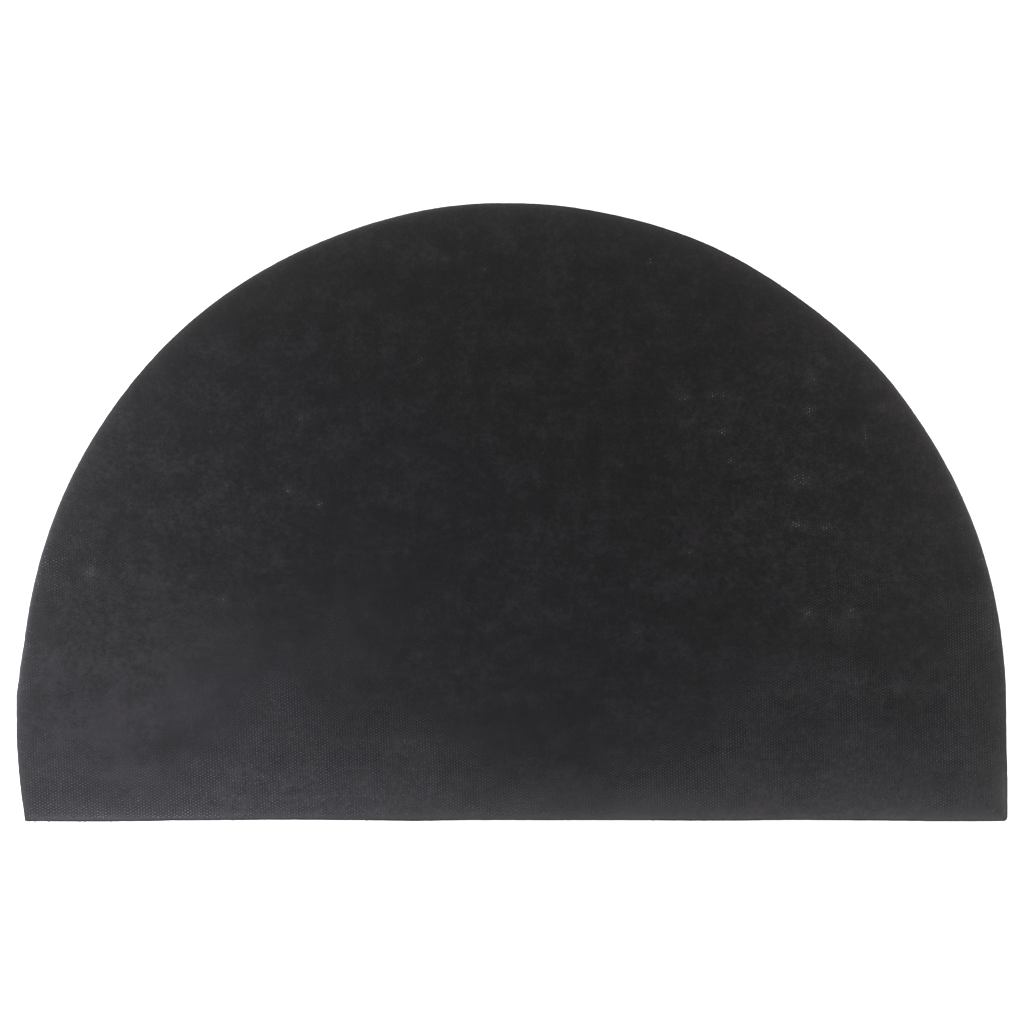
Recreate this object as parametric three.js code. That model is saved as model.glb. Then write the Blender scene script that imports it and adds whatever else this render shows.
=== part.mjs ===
// Half round coir doormat, lying face down: the vinyl backing is on top and the pile below it.
// Millimetres, +Z up. The straight edge lies along X on the -Y side and the arch rises to +Y.
// The origin is on the floor under the middle of the mat's bounding box.

import * as THREE from 'three';

// Driving sizes of the outline, measured from the middle of the straight edge
const HALF_WIDTH = 400;
const ARCH_RADIUS = 397.1;
const ARCH_CENTRE_HEIGHT = 101.2;
const RIGHT_CORNER_RADIUS = 3.5;
const LEFT_CORNER_RADIUS = 1.2;
const SMALLEST_CORNER_RADIUS = 0.5; // keeps the points of an inset corner apart

// The left side leans inwards below its widest point
const LEAN_START_HEIGHT = 74;
const LEAN_AT_CORNER = 6.9;
const LEAN_CURVE = 1.65;

// Driving sizes of the layers
const PILE_HEIGHT = 14.2;
const LAYER_GAP = 0.3;
const BACKING_THICKNESS = 2.5;

// Steps along each stretch of the outline
const BASE_STEPS = 40;
const CORNER_STEPS = 6;
const SIDE_STEPS = 12;
const ARCH_STEPS = 120;

// How far the knife ran outside (+) or inside (-) the true arch, by angle in degrees from the right
const ARCH_CUT = [
  { at: 0, out: 1.7 },
  { at: 7, out: 0.8 },
  { at: 18, out: 0.4 },
  { at: 24, out: -0.1 },
  { at: 34, out: -0.6 },
  { at: 40, out: -0.2 },
  { at: 54, out: -1.6 },
  { at: 67, out: -0.3 },
  { at: 78, out: -0.6 },
  { at: 86, out: 0.0 },
  { at: 98, out: 0.9 },
  { at: 110, out: 0.2 },
  { at: 130, out: 0.8 },
  { at: 148, out: -0.2 },
  { at: 173, out: -1.0 },
  { at: 180, out: 1.9 },
];

// The same along the straight edge, by distance from its middle
const BASE_CUT = [
  { at: -392, out: 0.6 },
  { at: -345, out: 0.8 },
  { at: -294, out: 0.5 },
  { at: -268, out: -0.1 },
  { at: -178, out: -0.6 },
  { at: -119, out: -0.2 },
  { at: -80, out: 0.4 },
  { at: -30, out: -0.3 },
  { at: 94, out: -0.2 },
  { at: 171, out: 0.2 },
  { at: 230, out: -0.4 },
  { at: 300, out: 0.1 },
  { at: 346, out: 0.6 },
  { at: 400, out: 0.5 },
];

// The same up the right side, by height over the straight edge
const RIGHT_CUT = [
  { at: 0, out: 0.0 },
  { at: 38, out: -0.1 },
  { at: 60, out: -0.7 },
  { at: 101, out: -1.1 },
];

// Section of the backing's rim, from its underside up: it bulges, then rolls over to the flat face
const BACKING_RIM = [
  { height: 0, inset: 0.6 },
  { height: 0.5, inset: 0 },
  { height: 1.1, inset: 0.1 },
  { height: 1.7, inset: 0.8 },
  { height: 2.1, inset: 2.4 },
  { height: 2.38, inset: 5 },
  { height: BACKING_THICKNESS, inset: 8.5 },
];

// Section of the pile's cut side, from the floor up
const PILE_SIDE = [
  { height: 0, inset: 2.2 },
  { height: 0.8, inset: 1.4 },
  { height: 6, inset: 1.0 },
  { height: PILE_HEIGHT, inset: 1.2 },
];

const BACKING_FINISH = { color: 0x28282b, roughness: 0.62, metalness: 0 };
const COIR_FINISH = { color: 0x8d6a3f, roughness: 0.95, metalness: 0 };

// Value of a cut table at one place, eased between the rows on both sides of it
function cutAt(rows, place) {
  const next = rows.findIndex((row) => row.at >= place);
  if (next === 0) {
    return rows[0].out;
  }
  if (next < 0) {
    return rows[rows.length - 1].out;
  }
  const before = rows[next - 1];
  const after = rows[next];
  const share = THREE.MathUtils.smoothstep(place, before.at, after.at);
  return THREE.MathUtils.lerp(before.out, after.out, share);
}

// Distance of the left side from the middle at one height
function leftSideAt(height) {
  const share = Math.max(0, (LEAN_START_HEIGHT - height) / LEAN_START_HEIGHT);
  return HALF_WIDTH - LEAN_AT_CORNER * share ** LEAN_CURVE;
}

// Distance of the right side from the middle at one height
function rightSideAt(height) {
  return HALF_WIDTH + cutAt(RIGHT_CUT, height);
}

// Numbers from start to end in equal steps, without the last one
function spaced(start, end, steps) {
  return Array.from({ length: steps }, (_, i) => THREE.MathUtils.lerp(start, end, i / steps));
}

// Round corner about a centre, from one angle to the other in degrees
function cornerPoints(centreX, centreY, radius, startAngle, endAngle) {
  return spaced(startAngle, endAngle, CORNER_STEPS).map((angle) => {
    const turn = THREE.MathUtils.degToRad(angle);
    return new THREE.Vector2(centreX + radius * Math.cos(turn), centreY + radius * Math.sin(turn));
  });
}

function archPoints(inset) {
  return spaced(0, 180, ARCH_STEPS).map((angle) => {
    const turn = THREE.MathUtils.degToRad(angle);
    const radius = ARCH_RADIUS + cutAt(ARCH_CUT, angle) - inset;
    return new THREE.Vector2(radius * Math.cos(turn), ARCH_CENTRE_HEIGHT + radius * Math.sin(turn));
  });
}

// The mat's outline, anticlockwise from the left corner, moved inwards by the inset
function outline(inset) {
  const rightRadius = Math.max(RIGHT_CORNER_RADIUS - inset, SMALLEST_CORNER_RADIUS);
  const leftRadius = Math.max(LEFT_CORNER_RADIUS - inset, SMALLEST_CORNER_RADIUS);
  const rightTop = inset + rightRadius;
  const leftTop = inset + leftRadius;
  const baseEnd = rightSideAt(rightTop) - inset - rightRadius;
  const baseStart = -leftSideAt(leftTop) + inset + leftRadius;

  const base = spaced(baseStart, baseEnd, BASE_STEPS).map(
    (x) => new THREE.Vector2(x, inset - cutAt(BASE_CUT, x)),
  );
  const rightCornerHeight = rightTop - cutAt(BASE_CUT, baseEnd);
  const leftCornerHeight = leftTop - cutAt(BASE_CUT, baseStart);
  const rightSide = spaced(rightCornerHeight, ARCH_CENTRE_HEIGHT, SIDE_STEPS).map(
    (y) => new THREE.Vector2(rightSideAt(y) - inset, y),
  );
  const leftSide = spaced(ARCH_CENTRE_HEIGHT, leftCornerHeight, SIDE_STEPS).map(
    (y) => new THREE.Vector2(inset - leftSideAt(y), y),
  );
  return [
    ...base,
    ...cornerPoints(baseEnd, rightCornerHeight, rightRadius, -90, 0),
    ...rightSide,
    ...archPoints(inset),
    ...leftSide,
    ...cornerPoints(baseStart, leftCornerHeight, leftRadius, 180, 270),
  ];
}

// Closed solid through rings of equally many points, the lowest ring first
function loft(rings) {
  const count = rings[0].points.length;
  const positions = rings.flatMap((ring) => ring.points.flatMap((p) => [p.x, p.y, ring.height]));
  const triangles = [];
  for (let level = 0; level < rings.length - 1; level += 1) {
    for (let i = 0; i < count; i += 1) {
      const low = level * count + i;
      const lowNext = level * count + ((i + 1) % count);
      triangles.push(low, lowNext, low + count);
      triangles.push(lowNext, lowNext + count, low + count);
    }
  }
  const topStart = (rings.length - 1) * count;
  for (const [a, b, c] of THREE.ShapeUtils.triangulateShape([...rings[0].points], [])) {
    triangles.push(a, c, b);
  }
  for (const [a, b, c] of THREE.ShapeUtils.triangulateShape([...rings.at(-1).points], [])) {
    triangles.push(topStart + a, topStart + b, topStart + c);
  }
  const geometry = new THREE.BufferGeometry();
  geometry.setAttribute('position', new THREE.Float32BufferAttribute(positions, 3));
  geometry.setIndex(triangles);
  geometry.computeVertexNormals();
  return geometry;
}

// One layer of the mat: the outline lofted up a section, standing at a height over the floor
function layer(name, section, floorHeight, finish) {
  const rings = section.map(({ height, inset }) => ({ height, points: outline(inset) }));
  const mesh = new THREE.Mesh(loft(rings), new THREE.MeshStandardMaterial(finish));
  mesh.name = name;
  mesh.position.z = floorHeight;
  return mesh;
}

const mat = new THREE.Group();
mat.add(layer('coir_pile', PILE_SIDE, 0, COIR_FINISH));
mat.add(layer('backing', BACKING_RIM, PILE_HEIGHT + LAYER_GAP, BACKING_FINISH));

const middle = new THREE.Box2().setFromPoints(outline(0)).getCenter(new THREE.Vector2());
mat.position.set(-middle.x, -middle.y, 0);

export default mat;
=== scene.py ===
"""Looks of a half round coir doormat that lies face down, with its vinyl backing on top.

Metres, +Z up, in the frame of the CAD model: the straight edge is on the -Y side, the arch
on the +Y side, and the tips of the pile are on the floor at Z = 0.
"""

import math

import bpy
import numpy as np
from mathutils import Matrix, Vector, geometry, kdtree


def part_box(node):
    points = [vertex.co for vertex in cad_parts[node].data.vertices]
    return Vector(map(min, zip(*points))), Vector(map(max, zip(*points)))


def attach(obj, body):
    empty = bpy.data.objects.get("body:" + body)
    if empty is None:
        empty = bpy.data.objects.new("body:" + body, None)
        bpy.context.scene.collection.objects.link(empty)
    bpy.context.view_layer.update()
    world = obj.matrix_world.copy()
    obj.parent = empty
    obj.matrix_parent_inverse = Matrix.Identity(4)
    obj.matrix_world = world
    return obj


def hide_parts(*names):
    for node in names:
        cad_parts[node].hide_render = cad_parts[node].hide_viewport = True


MM = 0.001

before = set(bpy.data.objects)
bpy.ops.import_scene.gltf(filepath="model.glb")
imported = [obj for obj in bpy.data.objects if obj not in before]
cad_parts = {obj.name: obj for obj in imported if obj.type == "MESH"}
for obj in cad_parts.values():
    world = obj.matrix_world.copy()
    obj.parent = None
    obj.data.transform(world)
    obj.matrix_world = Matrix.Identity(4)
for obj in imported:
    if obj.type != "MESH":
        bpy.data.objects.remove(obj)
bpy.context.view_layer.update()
backing_low, backing_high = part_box("backing")
_, pile_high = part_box("coir_pile")

# Pin dots of the backing: columns of dots, each half a pitch off its neighbour
PIP_COLUMN_PITCH = 2.222 * MM
PIP_PITCH = 2.378 * MM
PIP_COLUMN_TILT = math.radians(1.9)  # the columns lean this much in the middle
PIP_TILT_CHANGE = math.radians(0.6)  # more at the left edge, less at the right
PIP_ROW_TILT = math.radians(0.33)
PIP_SPARE = 8  # columns and rows laid out past the sheet, because the pattern is tilted
PIP_SHIFT = 0.04 * MM  # how far a dot stands off its place at random
PIP_MARGIN = 3.2 * MM  # bare strip between the last dots and the edge
PIP_SIDES = 6
PIP_RADIUS = 0.64 * MM
PIP_SUNK = 0.05 * MM  # how far a dot's foot lies below the sheet's surface
PIP_HEIGHT = 0.32 * MM
PIP_USUAL = 0.80  # share of that height that a dot usually has
PIP_UNEVEN = 0.20  # how much the share changes from patch to patch
PIP_PATCHES = (45 * MM, 13 * MM)
PIP_KEPT = (0.85, 1.0)  # share of its height that a single dot has kept, at random
PIP_PRESSED = 0.40  # share that a dot has lost where the sheet is pressed most

# The sheet
SHEET_TOP = backing_high.z - PIP_HEIGHT
SHEET_WAVE = 0.10 * MM  # the sheet's gentle unevenness
WAVE_SIZES = (70 * MM, 24 * MM)
SMALL_WAVE_SQUEEZE = 1.6  # the small waves are this much shorter along Y
RIM_STEP = 1.5 * MM
FIELD_STEP = 3.5 * MM
FINE_RIM = 2 * MM  # nearer the edge than this, the sheet's points are one rim step apart
CROWDED = 0.96  # points nearer the edge than this share of their inset are left out
EDGE_WOBBLE = 0.16 * MM  # the small roughness of the cut
WOBBLE_SIZES = (7 * MM, 2.5 * MM)
UNDERSIDE_INSET = 0.6 * MM
UNDERSIDE_DUST = 0.1  # how pale the underside is
# Section of the rim: how far inside the edge, and how far below the flat face, in millimetres
RIM_SECTION = [
    {"inset": 0.0, "drop": 1.70},
    {"inset": 0.2, "drop": 1.15},
    {"inset": 0.5, "drop": 0.82},
    {"inset": 1.0, "drop": 0.58},
    {"inset": 1.7, "drop": 0.39},
    {"inset": 2.7, "drop": 0.23},
    {"inset": 4.0, "drop": 0.11},
    {"inset": 6.0, "drop": 0.03},
    {"inset": 8.5, "drop": 0.00},
]
RIM_WIDTH = RIM_SECTION[-1]["inset"] * MM

# Bake maps: the UV map that a piece's patterns can be baked through
BAKE_MAP = "OFBake"
MAP_BORDER = 0.01  # empty border of the map
SHEET_SIDE_SPREAD = 3 * MM  # how wide a piece's sides are, folded out in its map
CORE_SIDE_SPREAD = 20 * MM

CLOUD_CELLS = 257  # random numbers each way before a pattern of clouds repeats


# Numbers

def clouds(x, y, size, seed):
    """Smooth random numbers from -1 to 1 over a plane, in patches of about one size."""
    grid = np.random.default_rng(seed).uniform(-1, 1, (CLOUD_CELLS, CLOUD_CELLS))
    column, row = x / size, y / size
    i, j = np.floor(column).astype(int), np.floor(row).astype(int)
    u, v = column - i, row - j
    u, v = u * u * (3 - 2 * u), v * v * (3 - 2 * v)
    i, j, i_next, j_next = (k % CLOUD_CELLS for k in (i, j, i + 1, j + 1))
    low = grid[i, j] * (1 - u) + grid[i_next, j] * u
    high = grid[i, j_next] * (1 - u) + grid[i_next, j_next] * u
    return low * (1 - v) + high * v


def two_clouds(x, y, sizes, seed):
    """Clouds of a wide and a small size together, the wide ones a little stronger."""
    wide, small = sizes
    return 0.6 * clouds(x, y, wide, seed) + 0.4 * clouds(x, y, small, seed + 1)


def oval_distance(points, oval):
    """Distance from an oval's middle, in parts of its size that way."""
    x, y = points[:, 0] / MM, points[:, 1] / MM
    return np.hypot((x - oval["x"]) / oval["wide"], (y - oval["y"]) / oval["high"])


def in_ovals(points, ovals):
    """The greatest share of the ovals at each point; an oval's share fades at its rim."""
    shares = [oval["share"] * np.exp(-oval_distance(points, oval) ** 4) for oval in ovals]
    return np.max(shares, axis=0)


def with_height(flat, heights):
    """Points of a plane, at these heights."""
    heights = np.broadcast_to(heights, flat.shape[:-1])
    return np.concatenate([flat, heights[..., None]], axis=-1)


# Outlines

def rings(node):
    """The points of each of the CAD node's outlines, in anticlockwise order."""
    points = np.array([vertex.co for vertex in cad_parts[node].data.vertices], float)
    heights = points[:, 2].round(5)
    found = []
    for height in np.unique(heights):
        level = np.unique(points[heights == height, :2].round(6), axis=0)
        turn = np.arctan2(level[:, 1], level[:, 0])
        found.append(level[np.argsort(turn)])
    return found


def widest_ring(node):
    """The points of the CAD node's widest outline."""
    return max(rings(node), key=lambda points: np.ptp(points[:, 0]))


def evenly(points, step):
    """A closed line again, with its points about one step apart."""
    closed = np.vstack([points, points[:1]])
    along = np.concatenate([[0], np.cumsum(np.linalg.norm(np.diff(closed, axis=0), axis=1))])
    places = np.linspace(0, along[-1], round(along[-1] / step), endpoint=False)
    return np.stack([np.interp(places, along, closed[:, k]) for k in range(2)], axis=1)


def outward(points):
    """Unit normals of an anticlockwise closed line, pointing out of it."""
    along = np.roll(points, -1, axis=0) - np.roll(points, 1, axis=0)
    along /= np.linalg.norm(along, axis=1, keepdims=True)
    return np.stack([along[:, 1], -along[:, 0]], axis=1)


def sideways(out):
    """Directions along a closed line, from the directions out of it."""
    return np.stack([-out[:, 1], out[:, 0]], axis=1)


def distance_to(edge, points):
    """Distance of each point to the nearest point of an edge."""
    tree = kdtree.KDTree(len(edge))
    for i, (x, y) in enumerate(edge):
        tree.insert((x, y, 0), i)
    tree.balance()
    return np.array([tree.find((x, y, 0))[2] for x, y in points])


def within(outline, points):
    """Whether each point lies inside a closed outline."""
    inside = np.zeros(len(points), bool)
    x, y = points[:, 0], points[:, 1]
    for (ax, ay), (bx, by) in zip(outline, np.roll(outline, -1, axis=0)):
        if ay != by:
            crosses = (ay > y) != (by > y)
            inside ^= crosses & (x < ax + (y - ay) * (bx - ax) / (by - ay))
    return inside


# Meshes

def new_piece(name, points, faces, uvs, material, smooth=True):
    """A mesh piece of triangles that rides on the mat. uvs has a place for each face corner."""
    mesh = bpy.data.meshes.new(name)
    mesh.vertices.add(len(points))
    mesh.vertices.foreach_set("co", np.asarray(points, np.float32).ravel())
    mesh.loops.add(faces.size)
    mesh.loops.foreach_set("vertex_index", faces.astype(np.int32).ravel())
    mesh.polygons.add(len(faces))
    mesh.polygons.foreach_set("loop_start", np.arange(0, faces.size, 3, dtype=np.int32))
    mesh.polygons.foreach_set("use_smooth", np.full(len(faces), smooth))
    mesh.update(calc_edges=True)
    layer = mesh.uv_layers.new(name=BAKE_MAP)
    layer.data.foreach_set("uv", np.asarray(uvs, np.float32).ravel())
    mesh.materials.append(material)
    piece = bpy.data.objects.new(name, mesh)
    bpy.context.scene.collection.objects.link(piece)
    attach(piece, "root")
    return piece


def point_values(piece, name, values):
    """Stores a number for each point of a piece, for its material to read."""
    layer = piece.data.attributes.new(name, "FLOAT", "POINT")
    layer.data.foreach_set("value", np.asarray(values, np.float32))


def flat_map(points):
    """Bake map places of points seen from above, filling the map."""
    flat = points[:, :2]
    low, high = flat.min(0), flat.max(0)
    return MAP_BORDER + (1 - 2 * MAP_BORDER) * (flat - low) / (high - low)


def triangulated(edge, inner):
    """Points and triangles between a closed edge, whose points come first, and points inside it."""
    count = len(edge)
    every = np.vstack([edge, inner])
    edges = [(i, (i + 1) % count) for i in range(count)]
    inside_only, nearest = 1, 1e-7
    made = geometry.delaunay_2d_cdt([tuple(p) for p in every], edges, [], inside_only, nearest)
    return np.array([tuple(p) for p in made[0]]), np.array(made[2])


def filled(outline):
    """Triangles that fill a closed line."""
    return triangulated(outline, np.zeros((0, 2)))[1]


def wall_between(low, high):
    """Triangles between two closed lines of as many points, given by the points' numbers."""
    low_after, high_after = np.roll(low, -1), np.roll(high, -1)
    lower = np.column_stack([low, low_after, high])
    upper = np.column_stack([low_after, high_after, high])
    return np.vstack([lower, upper])


def repeated(one, count, corners):
    """The triangles of one shape again, for many such shapes with this many corners each."""
    return (one[None] + (np.arange(count) * corners)[:, None, None]).reshape(-1, 3)


def cones(name, feet, tips, material, smooth=True, downwards=False):
    """Small cones in one piece, from a ring of foot corners and a tip for each."""
    count, sides = feet.shape[:2]
    near = np.arange(sides)
    after = (near + 1) % sides
    foot_side = (after, near) if downwards else (near, after)
    one = np.column_stack([*foot_side, np.full(sides, sides)])
    faces = repeated(one, count, sides + 1)
    points = np.concatenate([feet, tips[:, None]], axis=1).reshape(-1, 3)
    return new_piece(name, points, faces, flat_map(points)[faces], material, smooth)


# Materials

# Pale tint for dust and wearing, and for painted sheen along the edges and painted glints on the
# dots
DUST_AND_SHEEN_COLOUR = (0.165, 0.160, 0.148)

# Tones from dark to light: where each comes along the shade, and its colour
VINYL_TONES = [
    (0.20, (0.0028, 0.0026, 0.0026)),
    (0.50, (0.0080, 0.0073, 0.0073)),
    (0.80, (0.0200, 0.0183, 0.0185)),
]
FIBRE_TONES = [
    (0.10, (0.045, 0.020, 0.009)),
    (0.40, (0.150, 0.075, 0.030)),
    (0.65, (0.290, 0.165, 0.070)),
    (0.95, (0.480, 0.330, 0.170)),
]
# The core's tones are coir darkened into painted shade
CORE_PAINTED_SHADE = [
    (0.35, (0.020, 0.010, 0.005)),
    (0.70, (0.160, 0.085, 0.036)),
]

# How much each pattern changes the vinyl's shade, and the start that brings the mean to 0.5
MOTTLE_WEIGHT = 0.8
STREAK_WEIGHT = 0.35
GRAIN_WEIGHT = 0.9
SHADE_START = -0.075
LEAST_GRAIN = 0.3  # share of the grain that shows away from the rubbed places, where no painted glints go
ROUGHNESS_CHANGE = 0.02  # how much smoother or rougher the streaks are


class Nodes:
    """Short ways to add and join the nodes of one material."""

    def __init__(self, name):
        self.material = bpy.data.materials.new(name)
        self.material.use_nodes = True
        self.tree = self.material.node_tree
        self.shader = self.tree.nodes["Principled BSDF"]
        self.place = self.add("ShaderNodeTexCoord").outputs["Object"]

    def add(self, kind, **settings):
        node = self.tree.nodes.new(kind)
        for key, value in settings.items():
            setattr(node, key, value)
        return node

    def join(self, source, target):
        self.tree.links.new(source, target)

    def set_shader(self, **numbers):
        """Sets the shader's sockets; a socket's name is written with underscores for spaces."""
        for key, number in numbers.items():
            self.shader.inputs[key.replace("_", " ")].default_value = number

    def noise(self, scale, detail, roughness=0.55, stretch=(1, 1, 1)):
        """A noise pattern's value, scale in patches per metre."""
        mapping = self.add("ShaderNodeMapping")
        mapping.inputs["Scale"].default_value = stretch
        self.join(self.place, mapping.inputs["Vector"])
        texture = self.add("ShaderNodeTexNoise")
        texture.inputs["Scale"].default_value = scale
        texture.inputs["Detail"].default_value = detail
        texture.inputs["Roughness"].default_value = roughness
        self.join(mapping.outputs["Vector"], texture.inputs["Vector"])
        return texture.outputs["Fac"]

    def stored(self, name):
        """A number that the mesh stores for each point."""
        return self.add("ShaderNodeAttribute", attribute_name=name).outputs["Fac"]

    def math(self, operation, first, second):
        node = self.add("ShaderNodeMath", operation=operation)
        for socket, value in zip(node.inputs, (first, second)):
            if isinstance(value, (int, float)):
                socket.default_value = value
            else:
                self.join(value, socket)
        return node.outputs["Value"]

    def spread(self, value, low, high, to_low, to_high):
        """A value moved from one range to another, held inside the new one."""
        node = self.add("ShaderNodeMapRange")
        numbers = {"From Min": low, "From Max": high, "To Min": to_low, "To Max": to_high}
        for key, number in numbers.items():
            node.inputs[key].default_value = number
        self.join(value, node.inputs["Value"])
        return node.outputs["Result"]

    def ramp(self, value, stops):
        """Colours at places along a value: each stop is (place, (red, green, blue))."""
        node = self.add("ShaderNodeValToRGB")
        marks = node.color_ramp.elements
        while len(marks) < len(stops):
            marks.new(0.5)
        for mark, (place, colour) in zip(marks, stops):
            mark.position = place
            mark.color = (*colour, 1)
        self.join(value, node.inputs["Fac"])
        return node.outputs["Color"]

    def tint(self, share, source, colour):
        """A colour from another socket, moved towards a plain colour by a share."""
        node = self.add("ShaderNodeMixRGB")
        node.inputs["Color2"].default_value = (*colour, 1)
        self.join(share, node.inputs["Fac"])
        self.join(source, node.inputs["Color1"])
        return node.outputs["Color"]

    def weighed(self, start, *terms):
        """A number plus several values, each times its weight."""
        total = start
        for value, weight in terms:
            total = self.math("ADD", self.math("MULTIPLY", value, weight), total)
        return total

    def bump(self, height, distance, after=None):
        """A relief as deep as the distance, on top of another one."""
        node = self.add("ShaderNodeBump")
        node.inputs["Strength"].default_value = 1
        node.inputs["Distance"].default_value = distance
        self.join(height, node.inputs["Height"])
        if after is not None:
            self.join(after, node.inputs["Normal"])
        return node.outputs["Normal"]

    def finish(self, colour, relief):
        """The material, with its colour and relief joined to the shader."""
        self.join(colour, self.shader.inputs["Base Color"])
        self.join(relief, self.shader.inputs["Normal"])
        return self.material


def vinyl(name, rough, shine):
    """Black vinyl with cloudy marks, sideways streaks, a fine grainy texture and pale scuffs; the
    pale tint also holds painted sheen and painted glints, and some marks are painted light and
    shade.
    """
    nodes = Nodes(name)
    mottle = nodes.noise(scale=45, detail=5, roughness=1.0)
    streaks = nodes.noise(scale=9, detail=6, roughness=0.65, stretch=(1, 5, 1))
    fine = nodes.math("SUBTRACT", nodes.noise(scale=220, detail=2, roughness=1.0), 0.5)
    # The grain is stronger where painted glints go
    grain_and_glints = nodes.math("MULTIPLY", fine, nodes.math("ADD", nodes.stored("grain_and_glints"), LEAST_GRAIN))
    shade = nodes.weighed(
        SHADE_START,
        (mottle, MOTTLE_WEIGHT),
        (streaks, STREAK_WEIGHT),
        (grain_and_glints, GRAIN_WEIGHT),
        (nodes.stored("shade"), 1),
    )
    # The pale tint brings dust, and painted sheen along the edges and painted glints on the dots
    colour = nodes.tint(nodes.stored("dust_and_sheen"), nodes.ramp(shade, VINYL_TONES), DUST_AND_SHEEN_COLOUR)
    least, most = rough - ROUGHNESS_CHANGE, rough + ROUGHNESS_CHANGE
    roughness = nodes.spread(streaks, low=0.3, high=0.7, to_low=most, to_high=least)
    nodes.join(roughness, nodes.shader.inputs["Roughness"])
    nodes.set_shader(Specular_IOR_Level=shine)
    relief = nodes.bump(nodes.noise(scale=900, detail=2), distance=0.03 * MM)
    relief = nodes.bump(streaks, distance=0.25 * MM, after=relief)
    return nodes.finish(colour, relief)


def coir(name):
    """Coir fibres, each with a tone of its own, darker at the root as painted shade."""
    nodes = Nodes(name)
    patches = nodes.noise(scale=90, detail=3)
    shade = nodes.weighed(0, (nodes.stored("tone"), 0.75), (patches, 0.25))
    nodes.set_shader(Roughness=0.62, Specular_IOR_Level=0.4)
    relief = nodes.bump(nodes.noise(scale=2500, detail=1), distance=0.02 * MM)
    return nodes.finish(nodes.ramp(shade, FIBRE_TONES), relief)


def coir_core_material():
    """The inside of the pile, seen only between the fibres, coloured dark as painted shade between
    them.
    """
    nodes = Nodes("coir_core")
    strands = nodes.noise(scale=420, detail=5, roughness=0.7)
    nodes.set_shader(Roughness=0.9)
    return nodes.finish(nodes.ramp(strands, CORE_PAINTED_SHADE), nodes.bump(strands, distance=0.6 * MM))


# Wear, dust, painted sheen and painted glints of the backing, also on its pin dots

EDGE_SHEEN_AND_WEAR = 0.205  # share of pale tint, painted sheen along the edge with some wear, divided by a power of the millimetres from the edge
EDGE_SHEEN_START = (0.24, 0.70)  # added to the millimetres, along the straight edge and elsewhere
EDGE_SHEEN_FALL = 0.75  # that power
BARE_EDGE = (0.2 * MM, 2.0 * MM)  # the cut itself stays black, and the painted sheen sets in over this
SHEEN_TO_RIGHT = 0.25  # how much more painted sheen the sides and the arch have on the right
BASE_STRIP = (-225 * MM, -190 * MM)  # the painted sheen of the straight edge ends over this
BAND_SHEEN = 0.015  # a faint wide band of painted sheen along the arch
BAND_FALL = 45 * MM  # how fast the band fades inwards
BAND_RISE = (-150 * MM, 100 * MM)  # the band sets in over this

# How many times the usual painted sheen the straight edge has, by place along it in millimetres
BASE_SHEEN = [
    {"x": -330, "times": 1.15},
    {"x": -210, "times": 0.80},
    {"x": -60, "times": 1.40},
    {"x": 100, "times": 1.85},
    {"x": 220, "times": 1.50},
    {"x": 400, "times": 2.10},
]

# Cloudy marks, the last three rows painted light and shade: middle and size in millimetres, and how
# much darker or lighter than the rest
MARKS_AND_PAINTED_LIGHT = [
    {"x": -264, "y": -184, "wide": 26, "high": 12, "shade": -0.10},
    {"x": -163, "y": -192, "wide": 26, "high": 12, "shade": -0.10},
    {"x": -115, "y": 192, "wide": 18, "high": 14, "shade": -0.08},
    {"x": -212, "y": 151, "wide": 20, "high": 16, "shade": -0.08},
    {"x": 281, "y": 82, "wide": 16, "high": 14, "shade": -0.10},
    {"x": 366, "y": -51, "wide": 12, "high": 16, "shade": -0.10},
    # painted sheen along the straight edge
    {"x": 110, "y": -245, "wide": 190, "high": 36, "shade": 0.20},
    # painted sheen at the lower left
    {"x": -320, "y": -172, "wide": 80, "high": 85, "shade": 0.17},
    # painted shade beside it, towards the middle
    {"x": -150, "y": -150, "wide": 60, "high": 45, "shade": -0.12},
]

# Places where the sheet is rubbed and where painted glints go: grainy, with pale tops on its dots
# that stand in for glints. Middle and size in millimetres, and how much it is rubbed
RUBBED_AND_GLINTING = [
    {"x": -150, "y": -215, "wide": 110, "high": 95, "share": 1.00},
    {"x": -330, "y": -205, "wide": 120, "high": 110, "share": 0.22},
    {"x": 290, "y": -205, "wide": 170, "high": 95, "share": 1.00},
    {"x": -300, "y": -20, "wide": 130, "high": 170, "share": 0.35},
    {"x": 290, "y": 0, "wide": 150, "high": 180, "share": 0.45},
]
RUBBED_GLINT_TOP = 0.17  # how pale the dot tops are where the sheet is rubbed most: painted glints
RUBBED_GLINT_PATCH = 18 * MM  # size of the patches that the rubbing and the painted glints come in
RUBBED_GLINT_RANGE = (0.3, 1.7)  # how much less or more a single dot is rubbed, with its painted glint, at random

# Places where the dots are pressed flatter, in the same way
PRESSED = [
    {"x": 0, "y": 140, "wide": 520, "high": 190, "share": 1.00},
    {"x": 60, "y": -40, "wide": 170, "high": 190, "share": 1.00},
    {"x": -340, "y": -190, "wide": 110, "high": 110, "share": 0.90},
    {"x": 310, "y": -190, "wide": 150, "high": 110, "share": 0.55},
]

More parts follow.
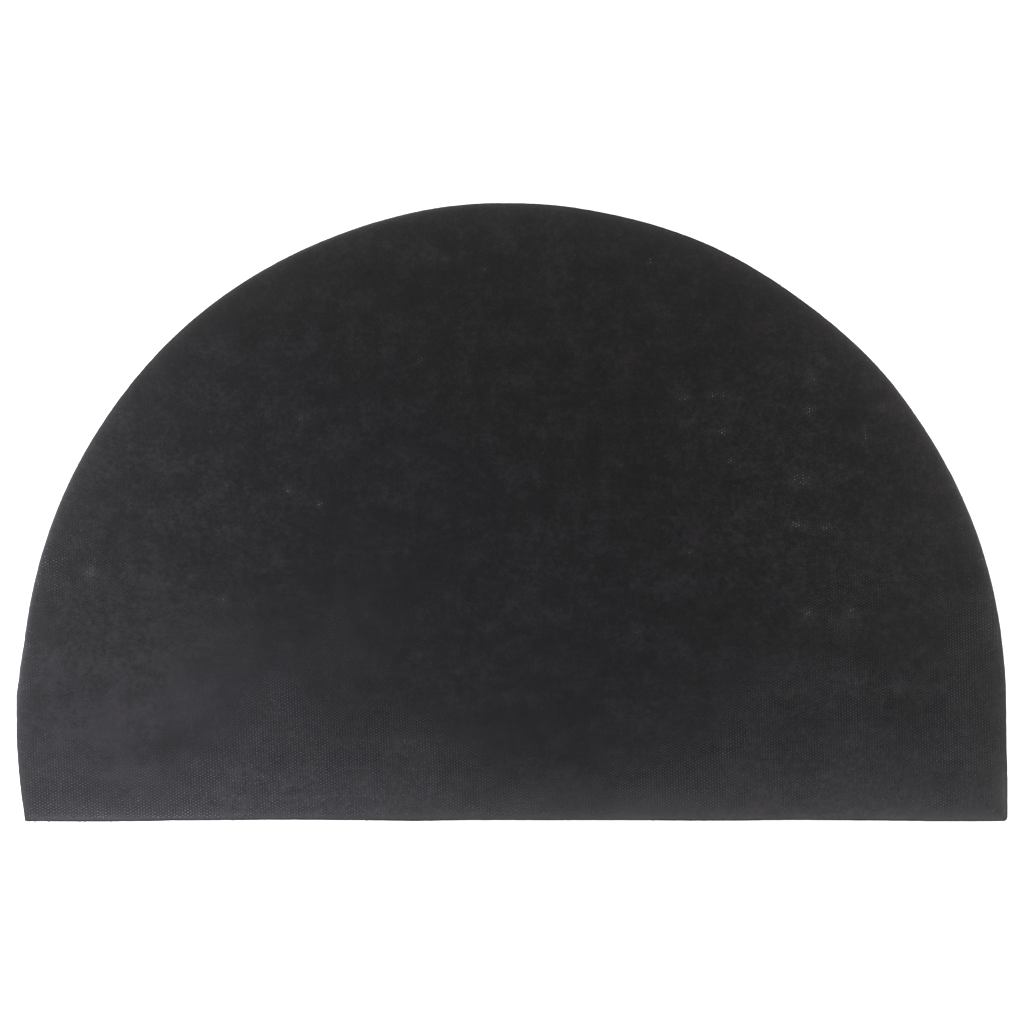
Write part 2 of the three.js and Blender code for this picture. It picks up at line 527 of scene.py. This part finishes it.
# Pale dusty specks: middle and size of each group in millimetres, and how pale they are
SCUFFS = [
    {"x": -101, "y": 216, "wide": 2.5, "high": 2.0, "pale": 1.00},
    {"x": -54, "y": 205, "wide": 2.2, "high": 1.6, "pale": 0.80},
    {"x": -23, "y": 196, "wide": 2.0, "high": 1.6, "pale": 1.00},
    {"x": 63, "y": 183, "wide": 1.8, "high": 1.8, "pale": 0.30},
    {"x": 111, "y": 202, "wide": 2.0, "high": 2.0, "pale": 1.00},
    {"x": -74, "y": 123, "wide": 1.8, "high": 1.8, "pale": 0.80},
    {"x": 138, "y": 92, "wide": 4.0, "high": 1.6, "pale": 1.05},
    {"x": 165, "y": 94, "wide": 7.0, "high": 2.0, "pale": 1.00},
    {"x": 242, "y": 108, "wide": 3.0, "high": 3.0, "pale": 1.60},
    {"x": 239, "y": 82, "wide": 3.5, "high": 2.5, "pale": 1.10},
    {"x": 297, "y": 85, "wide": 6.5, "high": 2.4, "pale": 1.05},
    {"x": 170, "y": 65, "wide": 2.4, "high": 2.4, "pale": 1.05},
    {"x": 175, "y": 42, "wide": 2.4, "high": 2.4, "pale": 0.80},
    {"x": 87, "y": 38, "wide": 2.2, "high": 2.2, "pale": 0.35},
    {"x": 233, "y": 26, "wide": 5.0, "high": 4.0, "pale": 1.80},
    {"x": -180, "y": 18, "wide": 2.0, "high": 2.0, "pale": 1.50},
    {"x": -155, "y": 7, "wide": 1.8, "high": 1.8, "pale": 1.20},
    {"x": 229, "y": -10, "wide": 6.0, "high": 1.8, "pale": 1.50},
    {"x": 253, "y": -12, "wide": 3.5, "high": 2.5, "pale": 1.00},
    {"x": 144, "y": -33, "wide": 1.8, "high": 1.8, "pale": 1.10},
    {"x": -340, "y": -48, "wide": 2.4, "high": 2.4, "pale": 2.60},
    {"x": 239, "y": -81, "wide": 4.0, "high": 3.5, "pale": 1.20},
    {"x": 273, "y": -81, "wide": 3.5, "high": 3.0, "pale": 1.40},
    {"x": 102, "y": -98, "wide": 1.8, "high": 1.8, "pale": 0.75},
    {"x": -171, "y": 76, "wide": 2.2, "high": 1.6, "pale": 0.50},
    {"x": -230, "y": 21, "wide": 2.4, "high": 1.8, "pale": 0.65},
    {"x": -281, "y": 26, "wide": 2.2, "high": 1.6, "pale": 0.60},
    {"x": -206, "y": -17, "wide": 2.2, "high": 1.6, "pale": 0.55},
    {"x": -255, "y": -50, "wide": 2.2, "high": 1.6, "pale": 0.70},
    {"x": -233, "y": -71, "wide": 1.6, "high": 2.2, "pale": 0.80},
    {"x": -118, "y": -82, "wide": 1.8, "high": 4.0, "pale": 0.70},
    {"x": 303, "y": -85, "wide": 1.8, "high": 1.8, "pale": 0.90},
    {"x": 285, "y": 63, "wide": 1.8, "high": 6.0, "pale": 0.75},
    {"x": 251, "y": 123, "wide": 1.8, "high": 1.8, "pale": 0.70},
]
SCUFF_FALL = 1.5  # a power that makes most dots of a group faint and a few pale
HAZE_SHARE = 0.018  # how dusty the haze round a group is, as a share of how pale its specks are
HAZE_SIZE = 2.4  # how much wider than the group
DUSTY_DOTS = 0.004  # share of all dots that are dusty
DUSTY_AND_GLINTING_DOTS = 0.03  # how much greater the share is where the sheet is rubbed most; these pale dots also serve as painted glints
DUSTY_RANGE = (0.03, 0.14)  # how dusty they are


def edge_sheen_and_wear(points, inside):
    """Share of pale tint at points this far inside the edge: painted sheen with some wearing, most
    just inside the bare cut.
    """
    x, y = points.T
    start = np.interp(y, BASE_STRIP, EDGE_SHEEN_START)
    sheen_and_wear = EDGE_SHEEN_AND_WEAR / (inside / MM + start) ** EDGE_SHEEN_FALL
    sheen_and_wear *= np.interp(inside, BARE_EDGE, (0, 1))
    sides = 1 + SHEEN_TO_RIGHT * x / backing_high.x
    places = [row["x"] * MM for row in BASE_SHEEN]
    base = np.interp(x, places, [row["times"] for row in BASE_SHEEN])
    near_base = np.interp(y, BASE_STRIP, (1, 0))
    band = BAND_SHEEN * np.exp(-inside / BAND_FALL) * np.interp(y, BAND_RISE, (0, 1))
    return sheen_and_wear * (base * near_base + sides * (1 - near_base)) + band


def marks_and_painted_light(points):
    """How much the cloudy marks, and the painted light and shade among them, darken or lighten the
    vinyl at each point.
    """
    return sum(mark["shade"] * np.exp(-oval_distance(points, mark) ** 2) for mark in MARKS_AND_PAINTED_LIGHT)


def haze(points):
    """Thin dust round each group of specks."""
    dust_and_sheen = np.zeros(len(points))
    for scuff in SCUFFS:
        away = oval_distance(points, scuff) / HAZE_SIZE
        dust_and_sheen = np.maximum(dust_and_sheen, HAZE_SHARE * scuff["pale"] * np.exp(-away ** 2))
    return dust_and_sheen


def pip_dust_and_glints(places, grain_and_glints, random):
    """How dusty each dot is: a few at random, more where rubbing and painted glints go, and some in
    each scuff.
    """
    dusty = random.random(len(places)) < DUSTY_DOTS + DUSTY_AND_GLINTING_DOTS * grain_and_glints
    dust_and_sheen = np.where(dusty, random.uniform(*DUSTY_RANGE, len(places)), 0)
    for scuff in SCUFFS:
        pale = scuff["pale"] * np.exp(-oval_distance(places, scuff) ** 2)
        dust_and_sheen = np.maximum(dust_and_sheen, pale * random.uniform(0, 1, len(places)) ** SCUFF_FALL)
    return dust_and_sheen


# The sheet

def wobbly_edge():
    """The sheet's cut edge: the CAD outline with the small roughness of a cut."""
    edge = evenly(widest_ring("backing"), RIM_STEP)
    rough = two_clouds(*edge.T, WOBBLE_SIZES, seed=21)
    return edge + outward(edge) * (EDGE_WOBBLE * rough)[:, None]


def sheet_wave(x, y):
    """Height of the sheet's gentle unevenness."""
    wide_size, small_size = WAVE_SIZES
    wide = clouds(x, y, wide_size, seed=11)
    small = clouds(x, y * SMALL_WAVE_SQUEEZE, small_size, seed=12)
    return SHEET_WAVE * (0.7 * wide + 0.3 * small)


def surface_height(points, inside):
    """Height of the sheet's upper surface at points this far inside the edge."""
    insets = [row["inset"] * MM for row in RIM_SECTION]
    drops = [row["drop"] * MM for row in RIM_SECTION]
    drop = np.interp(inside, insets, drops)
    flat_share = np.clip(inside / RIM_WIDTH, 0, 1)
    return SHEET_TOP - drop + sheet_wave(*points.T) * flat_share


def inner_rings(edge):
    """Points on lines inside the edge, at the insets of the rim's section."""
    normals = outward(edge)
    kept = []
    for row in RIM_SECTION[1:]:
        inset = row["inset"] * MM
        skip = 1 if inset < FINE_RIM else 2
        points = (edge - normals * inset)[::skip]
        kept.append(points[distance_to(edge, points) > CROWDED * inset])
    return np.vstack(kept)


def field_points(edge):
    """Points of an even triangle pattern over the flat face."""
    low, high = edge.min(0), edge.max(0)
    rows = np.arange(low[1], high[1], FIELD_STEP * math.sqrt(3) / 2)
    columns = np.arange(low[0], high[0], FIELD_STEP)
    x, y = np.meshgrid(columns, rows)
    x = x + (np.arange(len(rows)) % 2)[:, None] * FIELD_STEP / 2
    points = np.stack([x.ravel(), y.ravel()], axis=1)
    points = points[within(edge, points)]
    return points[distance_to(edge, points) > RIM_WIDTH + FIELD_STEP / 2]


def sheet_map(edge, flat, faces, top_count):
    """Bake map of the sheet: its top and sides in one half, its underside in the other."""
    unfolded = np.vstack([flat, edge + outward(edge) * SHEET_SIDE_SPREAD])
    uvs = (flat_map(unfolded) * (1, 0.5))[faces]
    uvs[top_count:, :, 1] += 0.5
    return uvs


def backing_sheet(edge, material):
    """The vinyl sheet: a closed shell with its rim rolled down, and no dots yet."""
    flat, top_faces = triangulated(edge, np.vstack([inner_rings(edge), field_points(edge)]))
    count = len(edge)
    inside = distance_to(edge, flat)
    inside[:count] = 0
    top = with_height(flat, surface_height(flat, inside))
    under_edge = edge - outward(edge) * UNDERSIDE_INSET
    points = np.vstack([top, with_height(under_edge, backing_low.z)])
    wall = wall_between(np.arange(count) + len(top), np.arange(count))
    underside = filled(under_edge)[:, ::-1] + len(top)
    faces = np.vstack([top_faces, wall, underside])
    uvs = sheet_map(edge, flat, faces, len(top_faces) + len(wall))
    sheet = new_piece("backing_sheet", points, faces, uvs, material)
    plain = np.zeros(count)
    # Painted sheen along the edge, and dust round the specks
    sheen_and_wear = edge_sheen_and_wear(flat, inside) + haze(flat)
    point_values(sheet, "dust_and_sheen", np.concatenate([sheen_and_wear, plain + UNDERSIDE_DUST]))
    point_values(sheet, "shade", np.concatenate([marks_and_painted_light(flat), plain]))
    point_values(sheet, "grain_and_glints", np.concatenate([in_ovals(flat, RUBBED_AND_GLINTING), plain]))
    return sheet


# The pin dots

def pip_places(edge):
    """Where the pin dots stand, as rows of x and y."""
    low, high = edge.min(0), edge.max(0)
    first_column = math.floor(low[0] / PIP_COLUMN_PITCH) - PIP_SPARE
    first_row = math.floor(low[1] / PIP_PITCH) - PIP_SPARE
    columns = np.arange(first_column, high[0] / PIP_COLUMN_PITCH + PIP_SPARE)
    rows = np.arange(first_row, high[1] / PIP_PITCH + PIP_SPARE)
    column, row = (a.ravel() for a in np.meshgrid(columns, rows))
    x = column * PIP_COLUMN_PITCH
    y = (row + 0.5 * (column % 2)) * PIP_PITCH + x * math.tan(PIP_ROW_TILT)
    tilt = PIP_COLUMN_TILT - PIP_TILT_CHANGE * x / high[0]
    points = np.stack([x - y * np.tan(tilt), y], axis=1)
    return points[within(edge, points)]


def pip_heights(places, random):
    """How tall each dot is: uneven from patch to patch and from dot to dot, and pressed flatter."""
    worn = two_clouds(*places.T, PIP_PATCHES, seed=32)
    pressed = PIP_PRESSED * in_ovals(places, PRESSED)
    tall = PIP_HEIGHT * (PIP_USUAL + PIP_UNEVEN * worn) * (1 - pressed)
    return tall * random.uniform(*PIP_KEPT, len(places))


def pip_sheen_glints_and_dust(places, inside, grain_and_glints, random):
    """How pale each dot is from wearing, dusty specks, painted sheen near the edge and painted
    glints on its top.
    """
    patches = 0.5 + 0.5 * clouds(*places.T, RUBBED_GLINT_PATCH, seed=34)
    # Pale dot tops where the sheet is rubbed: painted glints
    rubbed_and_glints = RUBBED_GLINT_TOP * grain_and_glints * patches * random.uniform(*RUBBED_GLINT_RANGE, len(places))
    sheen_and_wear = edge_sheen_and_wear(places, inside) + rubbed_and_glints
    return np.minimum(pip_dust_and_glints(places, grain_and_glints, random) + haze(places) + sheen_and_wear, 1)


def pip_pieces(edge, material):
    """The raised pin dots, as one piece for each half of the mat."""
    places = pip_places(edge)
    inside = distance_to(edge, places)
    places, inside = places[inside > PIP_MARGIN], inside[inside > PIP_MARGIN]
    heights = surface_height(places, inside)
    random = np.random.default_rng(31)
    places = places + random.normal(0, PIP_SHIFT, places.shape)
    tall = pip_heights(places, random)
    grain_and_glints = in_ovals(places, RUBBED_AND_GLINTING)
    dust_and_sheen = pip_sheen_glints_and_dust(places, inside, grain_and_glints, random)
    values = {"dust_and_sheen": dust_and_sheen, "shade": marks_and_painted_light(places), "grain_and_glints": grain_and_glints}
    made = []
    for side, chosen in (("left", places[:, 0] < 0), ("right", places[:, 0] >= 0)):
        piece = pips(f"backing_pips_{side}", places[chosen], heights[chosen], tall[chosen], material)
        for name, numbers in values.items():
            point_values(piece, name, np.repeat(numbers[chosen], PIP_SIDES + 1))
        made.append(piece)
    return made


def pips(name, places, heights, tall, material):
    """Small round dots on the sheet, each a low cone with smooth shading."""
    turns = np.arange(PIP_SIDES) * math.tau / PIP_SIDES
    foot = np.stack([np.cos(turns), np.sin(turns)], axis=-1) * PIP_RADIUS
    feet = with_height(places[:, None] + foot, (heights - PIP_SUNK)[:, None])
    return cones(name, feet, with_height(places, heights + tall), material)


# The pile

CORE_INSET = 2.0 * MM
CORE_BOTTOM = 2.6 * MM
CORE_STEP = 4 * MM

# Fibres have three sides, and rings of corners at the root, the bend and the tip
FIBRE_RADIUS = 0.17 * MM
FIBRE_SIDES = 3
RING_WIDTHS = (1.0, 1.0, 0.6)
# Painted shade: the root under the backing is darker, the tip a little lighter
RING_PAINTED_SHADE = (0.55, 1.0, 1.05)
CROSSWISE = (0.3, 0.9, 0.1)  # any direction that no fibre runs in
# Places of a fibre's corners in its cell of the bake map: across it, and up it from ring to ring
MAP_SIDES = (0.2, 0.5, 0.8)
MAP_RINGS = (0.1, 0.5, 0.85)
MAP_TIP = 0.97

# Fibres on the cut side. A length without MM is in millimetres
RIM_FIBRES = 26000
RIM_FIBRE_STEP = 1 * MM
RIM_FIBRE_WIDTHS = (0.7, 1.3)  # as shares of the usual width
FIBRE_ROWS_DEEP = 2.6 * MM  # fibres stand one by one this far in from the cut side
OUTER_ROWS = 1.3  # a power that crowds them towards the cut side
ROOT_INSET = 0.2 * MM
ROOT_HEIGHT = pile_high.z + 0.2 * MM
LEAN_OUT = (0.15, 0.45)  # usual and spread
LEAN_ALONG = 1.3  # spread
CLUMP_LEAN = 1.2 * MM  # fibres also lean together, in clumps
CLUMP_SIZE = 9 * MM
BEND = 0.35  # spread
TIP_HEIGHTS = (0.15, 1.1)
INNER_SHADE = 0.35  # how much darker the innermost fibres are

# Loose fibres just under the backing. A length without MM is in millimetres
STRAYS = 2600
STRAYS_AWAY_FROM_LEFT = 0.12  # share of the strays that are kept where the edge doesn't face left
STRAY_STEP = 0.5 * MM
STRAY_WIDTHS = (0.6, 1.0)  # as shares of the usual width
STRAY_REACH = (0.0, 0.55)  # how far they reach past the backing
STRAY_ROOT_INSET = 1.5
STRAY_BEND_INSET = 0.2
STRAY_SHIFT = 0.3  # how far they stand off their places along the edge, as a spread
STRAY_LEAN = 0.5  # how far they lean along the edge, as a spread
STRAY_ROOT_DROP = 0.2  # depths below the top of the pile
STRAY_BEND_DROPS = (0.3, 1.0)
STRAY_TIP_DROPS = (1.2, 3.5)
TUFT_FIBRES = 8
TUFT_REACH = 0.45  # how much farther the fibres of a tuft reach
# Where a few fibres stick out together past the backing, in millimetres
TUFTS = [
    {"x": -390, "y": -249}, {"x": -386, "y": -249}, {"x": -374, "y": -249}, {"x": -349, "y": -249},
    {"x": -345, "y": -249}, {"x": -324, "y": -249}, {"x": -225, "y": -249}, {"x": -200, "y": -249},
    {"x": -117, "y": -249}, {"x": 114, "y": -249}, {"x": 131, "y": -249}, {"x": 144, "y": -249},
    {"x": 363, "y": 12}, {"x": 293, "y": 121}, {"x": 286, "y": 128}, {"x": 217, "y": 185},
]

# The brush of fibre ends on the pile's face
BRUSH_TUFTS = 44000
BRUSH_RADII = (0.5, 0.95)  # in millimetres
BRUSH_LEAN = 0.8 * MM  # as a spread
BRUSH_HEIGHTS = (0.1, 0.9)  # in millimetres over the floor
BRUSH_FOOT = CORE_BOTTOM + 0.1 * MM
BRUSH_PAINTED_SHADE = (0.5, 0.5, 0.5, 1.1)  # painted shade at the three foot corners, lighter at the tip


def core_map(outline, points, faces, side_count):
    """Bake map of the core: its sides, its underside and its top, in a quarter each."""
    flat = points[:, :2].copy()
    flat[len(outline):] += outward(outline) * CORE_SIDE_SPREAD
    uvs = flat_map(flat)[faces] * 0.5
    cap_count = (len(faces) - side_count) // 2
    uvs[side_count:side_count + cap_count, :, 0] += 0.5
    uvs[side_count + cap_count:, :, 1] += 0.5
    return uvs


def pile_core(material):
    """The inside of the pile: its CAD outline, drawn in to leave room for the fibres."""
    outline = evenly(widest_ring("coir_pile"), CORE_STEP)
    outline = outline - outward(outline) * CORE_INSET
    points = np.vstack([with_height(outline, z) for z in (CORE_BOTTOM, pile_high.z)])
    low = np.arange(len(outline))
    wall = wall_between(low, low + len(outline))
    cap = filled(outline)
    faces = np.vstack([wall, cap[:, ::-1], cap + len(outline)])
    uvs = core_map(outline, points, faces, len(wall))
    return new_piece("coir_core", points, faces, uvs, material, smooth=False)


def fibre_points(middles, radii):
    """Corners of fibres, in a ring round each of the three middles that they run through."""
    root, _, tip = middles
    along = tip - root
    along /= np.linalg.norm(along, axis=1, keepdims=True)
    across = np.cross(along, CROSSWISE)
    across /= np.linalg.norm(across, axis=1, keepdims=True)
    beside = np.cross(along, across)
    turns = (np.arange(FIBRE_SIDES) * math.tau / FIBRE_SIDES)[:, None, None]
    corners = (np.cos(turns) * across + np.sin(turns) * beside).transpose(1, 0, 2)
    sized = [corners * (radii * width)[:, None, None] for width in RING_WIDTHS]
    return np.stack([middle[:, None] + ring for middle, ring in zip(middles, sized)], axis=1)


def fibre_faces():
    """Triangles of one fibre: its sides from ring to ring, and its tip."""
    corner = np.arange(3 * FIBRE_SIDES).reshape(3, FIBRE_SIDES)
    one = []
    for low, high in zip(corner[:-1], corner[1:]):
        for k in range(FIBRE_SIDES):
            k_next = (k + 1) % FIBRE_SIDES
            one += [(low[k], low[k_next], high[k]), (low[k_next], high[k_next], high[k])]
    one.append(tuple(corner[-1]))
    return np.array(one)


def fibre_map(one, count):
    """Bake map of many fibres, each in a square cell of its own."""
    across = math.ceil(math.sqrt(count))
    column, row = np.arange(count) % across, np.arange(count) // across
    corner_u = np.tile(MAP_SIDES, len(MAP_RINGS))
    corner_v = np.repeat(MAP_RINGS, FIBRE_SIDES)
    one_uv = np.stack([corner_u[one], corner_v[one]], axis=2)
    one_uv[-1, 1, 1] = MAP_TIP
    return (one_uv[None] + np.stack([column, row], axis=1)[:, None, None]) * (1 / across)


def strands(name, roots, bends, tips, radii, tones, material):
    """Many thin fibres in one piece, each with three sides and one bend."""
    count = len(roots)
    points = fibre_points((roots, bends, tips), radii)
    one = fibre_faces()
    faces = repeated(one, count, 3 * FIBRE_SIDES)
    uvs = fibre_map(one, count)
    piece = new_piece(name, points.reshape(-1, 3), faces, uvs, material, smooth=False)
    # Painted shade along each fibre, darkest at the root
    painted_shade_tones = tones[:, None, None] * np.array(RING_PAINTED_SHADE)[None, :, None]
    point_values(piece, "tone", (painted_shade_tones * np.ones(FIBRE_SIDES)).ravel())
    return piece


def random_tones(random, count, usual, spread, darkest):
    """A tone for each fibre."""
    return np.clip(random.normal(usual, spread, count), darkest, 1)


def places_along(outline, places):
    """Points at places along a closed line, counted in its points, and the directions out of it."""
    index = places.astype(int)
    share = (places - index)[:, None]
    after = (index + 1) % len(outline)
    points = outline[index] * (1 - share) + outline[after] * share
    return points, outward(outline)[index]


def rim_fibres(material):
    """The fibres that show on the pile's cut side, as a piece for the arch and one for the rest."""
    random = np.random.default_rng(41)
    outline = evenly(widest_ring("coir_pile"), RIM_FIBRE_STEP)
    base, out = places_along(outline, random.uniform(0, len(outline), RIM_FIBRES))
    depth = FIBRE_ROWS_DEEP * random.uniform(0, 1, RIM_FIBRES) ** OUTER_ROWS
    root = base - out * (depth + ROOT_INSET)[:, None]
    lean_out = random.normal(*LEAN_OUT, RIM_FIBRES) * MM
    lean_along = random.normal(0, LEAN_ALONG, RIM_FIBRES) * MM
    lean_along = lean_along + CLUMP_LEAN * clouds(*base.T, CLUMP_SIZE, seed=42)
    tip = root + out * lean_out[:, None] + sideways(out) * lean_along[:, None]
    bend = (root + tip) / 2 + random.normal(0, BEND, (RIM_FIBRES, 2)) * MM
    roots = with_height(root, ROOT_HEIGHT)
    tips = with_height(tip, random.uniform(*TIP_HEIGHTS, RIM_FIBRES) * MM)
    bends = with_height(bend, (roots[:, 2] + tips[:, 2]) / 2)
    radii = FIBRE_RADIUS * random.uniform(*RIM_FIBRE_WIDTHS, RIM_FIBRES)
    tones = random_tones(random, RIM_FIBRES, usual=0.55, spread=0.17, darkest=0.08)
    tones = tones * (1 - INNER_SHADE * depth / FIBRE_ROWS_DEEP)
    made = []
    for name, chosen in (("arch", base[:, 1] > 0), ("base", base[:, 1] <= 0)):
        parts = (a[chosen] for a in (roots, bends, tips, radii, tones))
        made.append(strands(f"coir_rim_{name}", *parts, material))
    return made


def stray_places(outline, out, random):
    """Numbers of the outline's points where strays stand: first the tufts, then single ones."""
    tufts = np.array([(tuft["x"], tuft["y"]) for tuft in TUFTS]) * MM
    at_tufts = np.linalg.norm(outline[None] - tufts[:, None], axis=2).argmin(axis=1)
    single = random.integers(0, len(outline), STRAYS)
    kept = random.random(STRAYS) < np.maximum(-out[single, 0], STRAYS_AWAY_FROM_LEFT)
    return np.concatenate([np.repeat(at_tufts, TUFT_FIBRES), single[kept]])


def stray_fibres(material):
    """Loose fibres just under the backing that reach past it, most of them on the left."""
    random = np.random.default_rng(61)
    outline = evenly(widest_ring("backing"), STRAY_STEP)
    out = outward(outline)
    index = stray_places(outline, out, random)
    count = len(index)
    reach = random.uniform(*STRAY_REACH, count) * MM
    reach[:len(TUFTS) * TUFT_FIBRES] += TUFT_REACH * MM
    out = out[index]
    side = sideways(out)
    base = outline[index] + side * random.normal(0, STRAY_SHIFT, (count, 1)) * MM
    root = base - out * STRAY_ROOT_INSET * MM
    tip = base + out * reach[:, None] + side * random.normal(0, STRAY_LEAN, (count, 1)) * MM
    bend = base - out * STRAY_BEND_INSET * MM
    roots = with_height(root, pile_high.z - STRAY_ROOT_DROP * MM)
    bends = with_height(bend, pile_high.z - random.uniform(*STRAY_BEND_DROPS, count) * MM)
    tips = with_height(tip, pile_high.z - random.uniform(*STRAY_TIP_DROPS, count) * MM)
    radii = FIBRE_RADIUS * random.uniform(*STRAY_WIDTHS, count)
    tones = random_tones(random, count, usual=0.5, spread=0.15, darkest=0.08)
    return strands("coir_strays", roots, bends, tips, radii, tones, material)


def pile_tips(material):
    """The brush of fibre ends on the pile's face, which the mat lies on."""
    random = np.random.default_rng(51)
    outline = evenly(widest_ring("coir_pile"), CORE_STEP)
    places = random.uniform(outline.min(0), outline.max(0), (BRUSH_TUFTS * 2, 2))
    places = places[within(outline, places)]
    places = places[distance_to(outline, places) > CORE_INSET][:BRUSH_TUFTS]
    count = len(places)
    turns = random.uniform(0, math.tau, count)[:, None] + np.arange(3) * math.tau / 3
    radii = random.uniform(*BRUSH_RADII, count) * MM
    foot = np.stack([np.cos(turns), np.sin(turns)], axis=-1) * radii[:, None, None]
    feet = with_height(places[:, None] + foot, BRUSH_FOOT)
    ends = places + random.normal(0, BRUSH_LEAN, (count, 2))
    tips = with_height(ends, random.uniform(*BRUSH_HEIGHTS, count) * MM)
    piece = cones("coir_tips", feet, tips, material, smooth=False, downwards=True)
    tones = random_tones(random, count, usual=0.6, spread=0.18, darkest=0.1)
    point_values(piece, "tone", (tones[:, None] * BRUSH_PAINTED_SHADE).ravel())
    return piece


# The mat

def build_mat():
    """Makes the pieces, and hides the CAD nodes that they stand for."""
    edge = wobbly_edge()
    fibre = coir("coir_fibre")
    sheet = backing_sheet(edge, vinyl("vinyl_sheet", rough=0.50, shine=0.15))
    dots = pip_pieces(edge, vinyl("vinyl_dots", rough=0.24, shine=0.90))
    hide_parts("backing")
    core = pile_core(coir_core_material())
    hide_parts("coir_pile")
    pile = [core, *rim_fibres(fibre), stray_fibres(fibre), pile_tips(fibre)]


# Floor, light and camera

FLOOR_SIZE = 80
FLOOR_GREY = 0.5
FLOOR_GLOW = 0.8  # the floor is lit from below as well, which keeps it white beside the mat

WHITE = (1, 1, 1)
WARM = (1.03, 0.97, 1.00)
COOL = (0.96, 0.98, 1.06)
BLUISH = (0.94, 0.96, 1.10)

# Soft boxes beyond the arch, and strips beside the mat and over its straight edge
LAMPS = [
    {"name": "back_left", "place": (-0.54, 1.29, 0.80), "faces": (0, 0, 0),
     "wide": 0.60, "high": 0.60, "power": 22.0, "colour": WHITE},
    {"name": "far_right", "place": (1.29, 0.54, 0.80), "faces": (0, 0, 0),
     "wide": 0.60, "high": 0.60, "power": 14.5, "colour": WARM},
    {"name": "left", "place": (-0.80, 0.00, 0.30), "faces": (0, 0, 0),
     "wide": 0.40, "high": 0.12, "power": 7.6, "colour": BLUISH},
    {"name": "right", "place": (0.80, 0.00, 0.30), "faces": (0, 0, 0),
     "wide": 0.40, "high": 0.12, "power": 1.8, "colour": COOL},
    {"name": "near_left", "place": (-0.34, -0.50, 0.48), "faces": (-0.34, 0, 0),
     "wide": 0.34, "high": 0.12, "power": 3.3, "colour": BLUISH},
    {"name": "near_right", "place": (0.42, -0.50, 0.48), "faces": (0.42, 0, 0),
     "wide": 0.47, "high": 0.12, "power": 1.8, "colour": COOL},
]

# The photograph's framing
PHOTO_WIDTH = 1024
MAT_WIDTH_IN_PHOTO = 991.2
WIDEST_HEIGHT = backing_low.z + 0.5 * MM  # where the rim is widest
VIEW_RISE = 0.2 * MM  # how far the camera stands past the mat's middle, towards the arch
LENS = 100.0
SENSOR = 36.0


def add_floor():
    """A pale floor round and under the mat."""
    bpy.ops.mesh.primitive_plane_add(size=FLOOR_SIZE)
    floor = bpy.context.object
    floor.name = "floor"
    nodes = Nodes("pale_floor")
    nodes.set_shader(
        Base_Color=(FLOOR_GREY, FLOOR_GREY, FLOOR_GREY, 1),
        Roughness=0.9,
        Specular_IOR_Level=0.1,
        Emission_Color=(1, 1, 1, 1),
        Emission_Strength=FLOOR_GLOW,
    )
    floor.data.materials.append(nodes.material)


def add_lamp(row):
    """A soft box that faces a point, with its height upright."""
    data = bpy.data.lights.new(row["name"], "AREA")
    data.shape = "RECTANGLE"
    data.size = row["wide"]
    data.size_y = row["high"]
    data.energy = row["power"]
    data.color = row["colour"]
    lamp = bpy.data.objects.new("lamp_" + row["name"], data)
    lamp.location = row["place"]
    lamp.rotation_mode = "QUATERNION"
    lamp.rotation_quaternion = (lamp.location - Vector(row["faces"])).to_track_quat("Z", "Y")
    lamp.visible_camera = False
    bpy.context.scene.collection.objects.link(lamp)


def add_lights():
    """The lamps, in a room that gives no light of its own."""
    for row in LAMPS:
        add_lamp(row)
    world = bpy.data.worlds.new("studio")
    world.use_nodes = True
    world.node_tree.nodes["Background"].inputs["Strength"].default_value = 0
    bpy.context.scene.world = world


def add_camera():
    """Straight above the mat, at the photograph's framing."""
    data = bpy.data.cameras.new("camera")
    data.lens = LENS
    data.sensor_width = SENSOR
    camera = bpy.data.objects.new("camera", data)
    bpy.context.scene.collection.objects.link(camera)
    view_width = (backing_high.x - backing_low.x) * PHOTO_WIDTH / MAT_WIDTH_IN_PHOTO
    middle = (backing_low + backing_high) / 2
    height = WIDEST_HEIGHT + view_width * LENS / SENSOR
    camera.location = (middle.x, middle.y + VIEW_RISE, height)
    bpy.context.scene.camera = camera


build_mat()
add_floor()
add_lights()
add_camera()
bpy.context.scene.view_settings.view_transform = "Standard"
